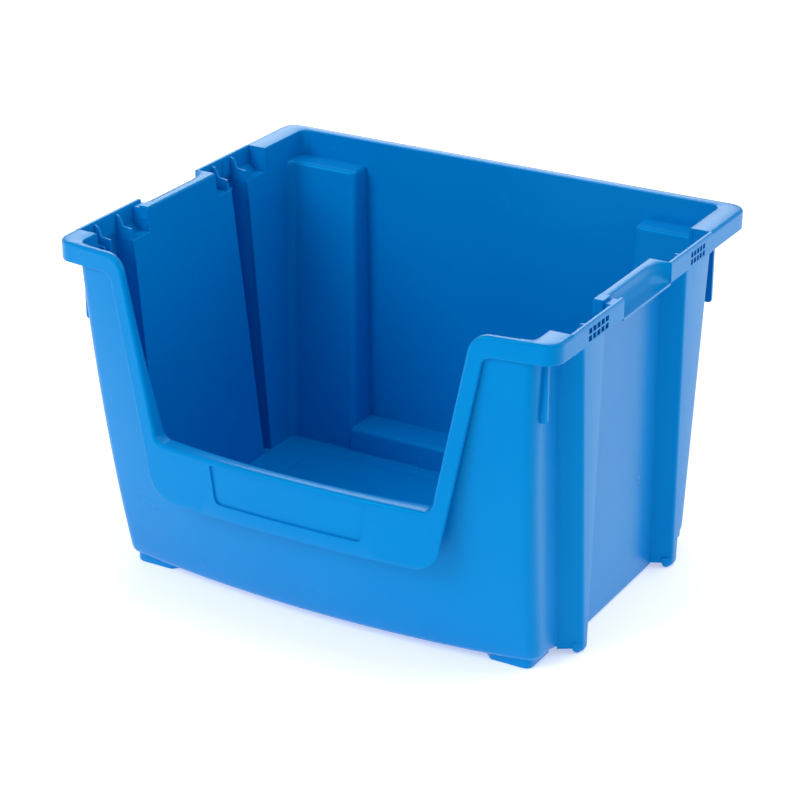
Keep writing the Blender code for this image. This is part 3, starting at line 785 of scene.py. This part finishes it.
def pocket_floor(name, span, channel, flank_edge, ends, tag, side, replaced):
    """A group's pocket floors, open over the channel, with end walls and a cross rib on each side of it."""
    root = taper(SIDE_WALL_X, NOTCH_LOW) - 0.8
    xs = (root, SHELF_X, SHELF_X + 5.0, SKIRT_BACK_X)
    opening = max(channel[0], taper(flank_edge, NOTCH_LOW)) - 1.5
    ys = (span[0] - 0.5, opening, channel[1] + 1.0, span[1] + 0.5)
    lift = {SHELF_X: 0.0, SHELF_X + 5.0: 4.6, SKIRT_BACK_X: 4.6}
    cells(
        f"{name}_{tag}",
        xs,
        ys,
        lambda x, y: (x, y, NOTCH_LOW + 0.2 + lift.get(x, 0.0)),
        lambda x, y: (x, y, NOTCH_LOW - 1.6 + lift.get(x, 0.0)),
        side,
        [(0, 1), (1, 1)],
        replaced=replaced,
    )
    for label, y in ends:
        outline = [(root, NOTCH_LOW - 1.0), (SHELF_X, NOTCH_LOW - 1.0), (SHELF_X + 4.5, SKIRT_LOW)]
        outline += [(SKIRT_BACK_X, SKIRT_LOW), (SKIRT_BACK_X, 263.2), (root, 263.2)]
        loops = [[(x, py, z) for x, z in outline] for py in (y, y + 1.8)]
        loft(f"{name}_end_{label}_{tag}", loops, side)
    for label, y in (("near", channel[0] - 1.7), ("far", channel[1])):
        outline = [(root, NOTCH_LOW - 1.0), (root, NOTCH_HIGH), (190.2, NOTCH_HIGH + 0.8)]
        outline += [(191.2, NOTCH_HIGH + 2.0), (192.0, 259.0), (193.6, 262.0), (196.8, 263.4)]
        outline += [(198.2, 263.4), (198.2, SKIRT_LOW), (SHELF_X, NOTCH_LOW - 1.0)]
        loops = [[(x, py, z) for x, z in outline] for py in (y, y + 1.7)]
        loft(f"{name}_rib_{label}_{tag}", loops, side)


def grip_crest(y):
    """Where the flat crest ends at y: the scoop is closed at the rear by a quarter of an ellipse."""
    share = max(y - GRIP_OPEN[1], 0.0) / (GRIP_BLOCK[1] - GRIP_OPEN[1])
    return min(SKIRT_X - 10.6 * math.sqrt(1 - share * share), SKIRT_X - 1.4)


def grip_section(y):
    """The grip's section: a flat crest, then a hollow sweep down and out to the lower edge."""
    crest_x = grip_crest(y)
    top = [(crest_x - 0.8, y, HEIGHT), (crest_x - 0.2, y, HEIGHT - 0.25)]
    under = []
    for angle in spread(0.0, math.pi / 2, 9):
        x = crest_x + (SKIRT_X - 0.4 - crest_x) * (1 - math.cos(angle)) ** 0.85
        z = HEIGHT - 0.7 - 13.9 * math.sin(angle)
        top.append((x, y, z))
        under.append((x - 2.4 * math.cos(angle), y, z - 2.4))
    lip = [(SKIRT_X, y, HEIGHT - 15.1), (SKIRT_X - 0.2, y, HEIGHT - 16.2)]
    crest = [(GRIP_INNER_X, y, 262.4), (GRIP_INNER_X, y, 263.9), (182.9, y, 264.8), (184.0, y, HEIGHT)]
    return crest + top + lip + under[::-1]


def grip(tag, side):
    """The hand grip: a scooped rail, closed by a curved wall at the rear and a block at the front."""
    scoop = GRIP_BLOCK[1] - GRIP_OPEN[1]
    stations = [GRIP_OPEN[0] + 0.05, -20.0]
    stations += [GRIP_OPEN[1] + scoop * math.sin(a) for a in spread(0.0, math.pi / 2, 12)]
    loft(f"grip_rail_{tag}", [grip_section(y) for y in stations], side, replaced=[f"grip_{tag}"])
    start, stop = GRIP_BLOCK[0] - 0.9, GRIP_OPEN[0] + 0.4
    plan = [(GRIP_INNER_X, start), (190.2, start), (190.2, stop), (GRIP_INNER_X, stop)]
    loops = [[(x, y, z) for x, y in plan] for z in (254.0, HEIGHT)]
    loft(f"grip_block_{tag}", loops, side, replaced=[f"grip_end_{tag}"], bevel=0.7)
    outline = [(184.0, NOTCH_LOW - 1.0), (SHELF_X, NOTCH_LOW - 1.0), (SHELF_X + 4.5, SKIRT_LOW)]
    outline += [(SKIRT_BACK_X, SKIRT_LOW), (SKIRT_BACK_X, 262.8), (184.0, 262.8)]
    loops = [[(x, y, z) for x, z in outline] for y in (GRIP_BLOCK[0] + 0.2, GRIP_OPEN[0] + 0.2)]
    loft(f"grip_web_{tag}", loops, side)


def tab(name, y, reach, low, tag, side, replaced):
    """A thin plate hanging under the rim, its lower outer corner rounded."""
    top = 258.0
    outline = [(taper(SIDE_WALL_X, z) - 0.6, z) for z in (top, low)]
    outline = rounded(outline + [(reach, low), (reach, top)], (0, 0, 3.0, 0), 6)
    loops = [[(x, py, z) for x, z in outline] for py in (y, y + WALL)]
    loft(f"{name}_{tag}", loops, side, replaced=replaced, bevel=0.3)


def foot(tag, side):
    """A foot pad under a front corner, its inner end cut off at 45 degrees."""
    plan = [(136.0, -112.5), (168.0, -112.5), (168.0, -82.5), (126.0, -82.5), (126.0, -102.5)]
    plan = rounded(plan, (1.5, 7.0, 2.0, 2.0, 1.5), 6)
    loops = []
    for z, inset in ((0.05, 1.2), (0.5, 0.4), (1.3, 0.0), (9.4, 0.0)):
        shrink = 1 - inset / 18.0
        loops.append([(148.0 + (x - 148.0) * shrink, -98.0 + (y + 98.0) * shrink, z) for x, y in plan])
    loft(f"front_foot_pad_{tag}", loops, side, replaced=[f"front_foot_{tag}"])


def build_side(tag, side):
    rear_column(tag, side)
    side_panel(tag, side)
    front = (FRONT_FLANK_FOOT, FRONT_FLANK_EDGE, FRONT_MOUTH_END, FRONT_PILASTER_END)
    rear = (REAR_FLANK_FOOT, REAR_FLANK_EDGE, REAR_MOUTH_END, REAR_PILASTER_END)
    replaced = [f"front_pilaster_{tag}", f"front_pilaster_foot_{tag}"]
    pilaster("pilaster_front", *front, tag, side, replaced)
    replaced = [f"rear_pilaster_{tag}", f"rear_pilaster_foot_{tag}"]
    pilaster("pilaster_rear", *rear, tag, side, replaced, REAR_FIN_LOW)
    span = (FRONT_POCKETS[0], GRIP_OPEN[0])
    replaced = [f"front_perforated_skirt_{tag}"]
    perforated_skirt("vent_skirt_front", span, FRONT_HOLES, tag, side, replaced)
    replaced = [f"rear_perforated_skirt_{tag}"]
    perforated_skirt("vent_skirt_rear", REAR_POCKETS, REAR_HOLES, tag, side, replaced)
    ends = [("front", FRONT_POCKETS[0] - 1.6)]
    channel = (-105.0, -80.5)
    replaced = [f"front_pocket_floor_{tag}"]
    pocket_floor("pocket_floor_front", FRONT_POCKETS, channel, FRONT_FLANK_EDGE, ends, tag, side, replaced)
    ends = [("front", REAR_POCKETS[0] + 0.1), ("rear", REAR_POCKETS[1] - 0.2)]
    channel = (47.5, 71.5)
    replaced = [f"rear_pocket_floor_{tag}"]
    pocket_floor("pocket_floor_rear", REAR_POCKETS, channel, REAR_FLANK_EDGE, ends, tag, side, replaced)
    grip(tag, side)
    tab("tab_front", -134.0, 187.0, 202.0, tag, side, [f"front_tab_{tag}"])
    tab("tab_rear", 126.0, 190.0, 199.0, tag, side, [f"rear_tab_{tag}"])
    foot(tag, side)


# ---------------------------------------------------------------- stage


def studio_floor():
    mesh = bpy.data.meshes.new("studio_floor")
    mesh.from_pydata([(-6, -6, 0), (6, -6, 0), (6, 6, 0), (-6, 6, 0)], [], [(0, 1, 2, 3)])
    material = bpy.data.materials.new("studio_floor")
    material.use_nodes = True
    shader = material.node_tree.nodes["Principled BSDF"]
    shader.inputs["Base Color"].default_value = (0.94, 0.94, 0.94, 1.0)
    shader.inputs["Roughness"].default_value = 0.9
    shader.inputs["Specular IOR Level"].default_value = 0.1
    shader.inputs["Emission Color"].default_value = WHITE
    shader.inputs["Emission Strength"].default_value = STUDIO_LEVEL
    mesh.materials.append(material)
    floor = bpy.data.objects.new("studio_floor", mesh)
    bpy.context.scene.collection.objects.link(floor)


def area_light(name, place, target, size, power):
    data = bpy.data.lights.new(name, "AREA")
    data.shape = "DISK"
    data.size = size
    data.energy = power
    light = bpy.data.objects.new(name, data)
    light.location = place
    light.rotation_euler = (Vector(target) - Vector(place)).to_track_quat("-Z", "Y").to_euler()
    bpy.context.scene.collection.objects.link(light)


def lighting():
    world = bpy.data.worlds.new("studio")
    world.use_nodes = True
    background = world.node_tree.nodes["Background"]
    background.inputs["Color"].default_value = WHITE
    background.inputs["Strength"].default_value = STUDIO_LEVEL
    bpy.context.scene.world = world
    area_light("key", (-0.9, -2.0, 1.7), (0, 0, 0.1), 1.4, 30.0)
    area_light("top", (0.7, 0.3, 2.4), (0, 0, 0.1), 1.4, 15.0)
    area_light("side", (2.0, 1.5, 1.2), (0, 0, 0.1), 1.6, 12.0)
    area_light("back", (-1.6, 2.7, 1.7), (0, 0, 0.26), 1.8, 22.0)


def camera():
    data = bpy.data.cameras.new("camera")
    data.sensor_width = 36.0
    data.lens = CAMERA_LENS
    data.clip_end = 50.0
    view = bpy.data.objects.new("camera", data)
    around, up = math.radians(CAMERA_AZIMUTH), math.radians(CAMERA_ELEVATION)
    away = Vector((math.sin(around) * math.cos(up), -math.cos(around) * math.cos(up), math.sin(up)))
    view.location = (Vector(CAMERA_TARGET) + away * CAMERA_DISTANCE) * MM
    view.rotation_euler = away.to_track_quat("Z", "Y").to_euler()
    bpy.context.scene.collection.objects.link(view)
    bpy.context.scene.camera = view


def main():
    front_wall()
    opening_frame()
    rear_rim()
    rear_wall()
    rear_step()
    floor_panel()
    build_side("right", 1)
    build_side("left", -1)
    studio_floor()
    lighting()
    camera()
    bpy.context.scene.view_settings.view_transform = "Standard"


main()
